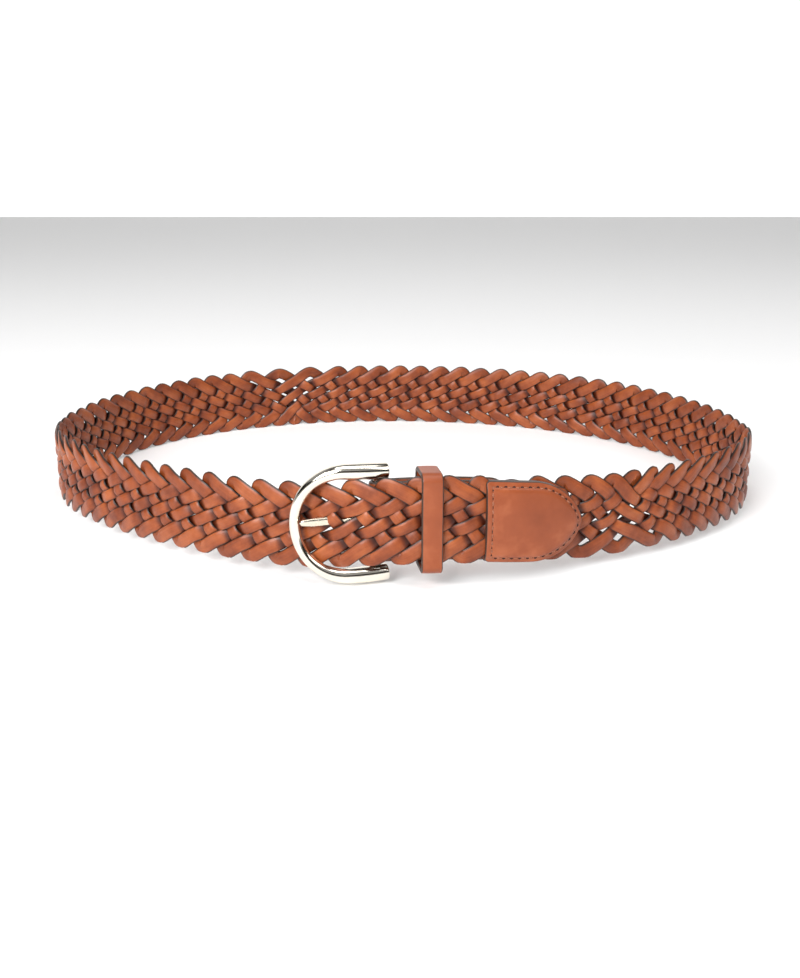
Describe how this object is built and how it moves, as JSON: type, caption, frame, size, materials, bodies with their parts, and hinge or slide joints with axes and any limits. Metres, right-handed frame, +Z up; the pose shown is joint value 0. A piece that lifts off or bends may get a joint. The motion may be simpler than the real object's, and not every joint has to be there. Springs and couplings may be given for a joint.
{
  "type": "braided belt",
  "caption": "Brown braided leather belt, fastened with a pale gold horseshoe buckle, keeper loop and stitched leather tip.",
  "frame": {"origin": "on the surface that the belt stands on, under the middle of its box", "axes": "+X along the longest side, to the right as seen from the buckle side; +Y from the buckle towards the back of the loop; +Z up, across the strap's height"},
  "size_m": [0.306, 0.2488, 0.0456],
  "materials": {
    "braid_leather": "satin",
    "tab_leather": "satin",
    "pale_gold": "polished"
  },
  "bodies": {
    "root": {"braided_strap": "braid_leather", "buckle_frame": "pale_gold", "buckle_prong": "pale_gold", "buckle_tab": "tab_leather", "tip_front": "tab_leather", "tip_back": "tab_leather", "keeper_loop": "tab_leather"}
  },
  "joints": []
}
